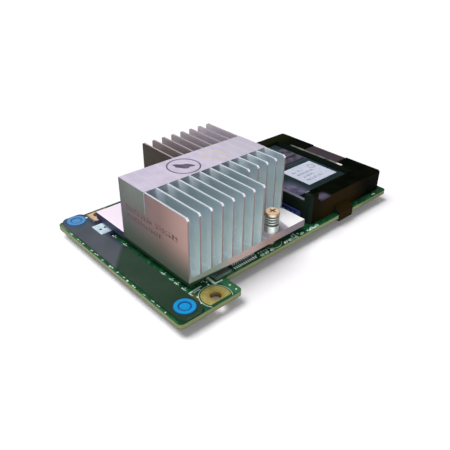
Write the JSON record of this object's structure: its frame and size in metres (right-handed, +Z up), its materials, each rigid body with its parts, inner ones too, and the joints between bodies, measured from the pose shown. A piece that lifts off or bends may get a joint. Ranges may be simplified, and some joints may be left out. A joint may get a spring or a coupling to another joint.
{
  "type": "raid controller card",
  "caption": "Server storage controller card: green board with a finned heat sink on spring screws, a connector cover strip, and a backup battery in a moulded tray.",
  "frame": {"origin": "centre of the board's rectangle, on the plane that the card rests on", "axes": "+X from the connector end to the battery end, +Y from the mounting tab's side to the straight far side, +Z up through the board to the heat sink"},
  "size_m": [0.1068, 0.0666, 0.0289],
  "materials": {
    "board_laminate": "green solder mask over glass laminate",
    "gold_plating": "gold flash over copper",
    "cover_film": "dark slate semi-gloss film on a thin plate",
    "blue_plastic": "bright blue, satin",
    "label_film": "pale silver-lavender printed film",
    "white_label": "white film",
    "connector_housing": "black moulded, fine grain",
    "contact_gold": "bright gold",
    "sink_aluminium": "extruded and clear anodised",
    "screw_steel": "bright plated",
    "spring_steel": "bright drawn wire",
    "insert_brass": "turned",
    "package_substrate": "dark green laminate",
    "die_silicon": "polished silicon",
    "thermal_pad": "soft grey pad",
    "chip_mould": "black mould compound",
    "inductor_ferrite": "dark grey pressed powder",
    "capacitor_body": "tan body with tinned ends",
    "crystal_can": "nickel-plated lid",
    "tray_plastic": "black moulded, satin",
    "pack_wrap": "dark teal shrink film",
    "header_plastic": "dark blue moulded",
    "pin_tin": "tinned"
  },
  "bodies": {
    "root": {"circuit_board": "board_laminate", "plated_hole_near": "gold_plating", "plated_hole_far": "gold_plating", "connector_cover": "cover_film", "press_point_near": "blue_plastic", "press_point_far": "blue_plastic", "cover_label": "white_label", "mezzanine_connector": "connector_housing", "connector_contacts": "contact_gold", "heat_sink": "sink_aluminium", "heat_sink_label": "label_film", "spring_screws": "screw_steel", "spring_seats": "spring_steel", "compression_springs": "spring_steel", "threaded_inserts": "insert_brass", "controller_package": "package_substrate", "controller_die": "die_silicon", "thermal_pad": "thermal_pad", "flash_chip": "chip_mould", "memory_chip_1": "chip_mould", "memory_chip_2": "chip_mould", "memory_chip_3": "chip_mould", "memory_chip_4": "chip_mould", "bus_driver_chip": "chip_mould", "regulator_1": "chip_mould", "regulator_2": "chip_mould", "power_inductor_1": "inductor_ferrite", "power_inductor_2": "inductor_ferrite", "bulk_capacitors": "capacitor_body", "small_capacitors": "capacitor_body", "underside_capacitors": "capacitor_body", "clock_crystal": "crystal_can", "battery_tray": "tray_plastic", "battery_pack": "pack_wrap", "battery_label": "label_film", "battery_header": "header_plastic", "battery_header_pins": "pin_tin"}
  },
  "joints": []
}
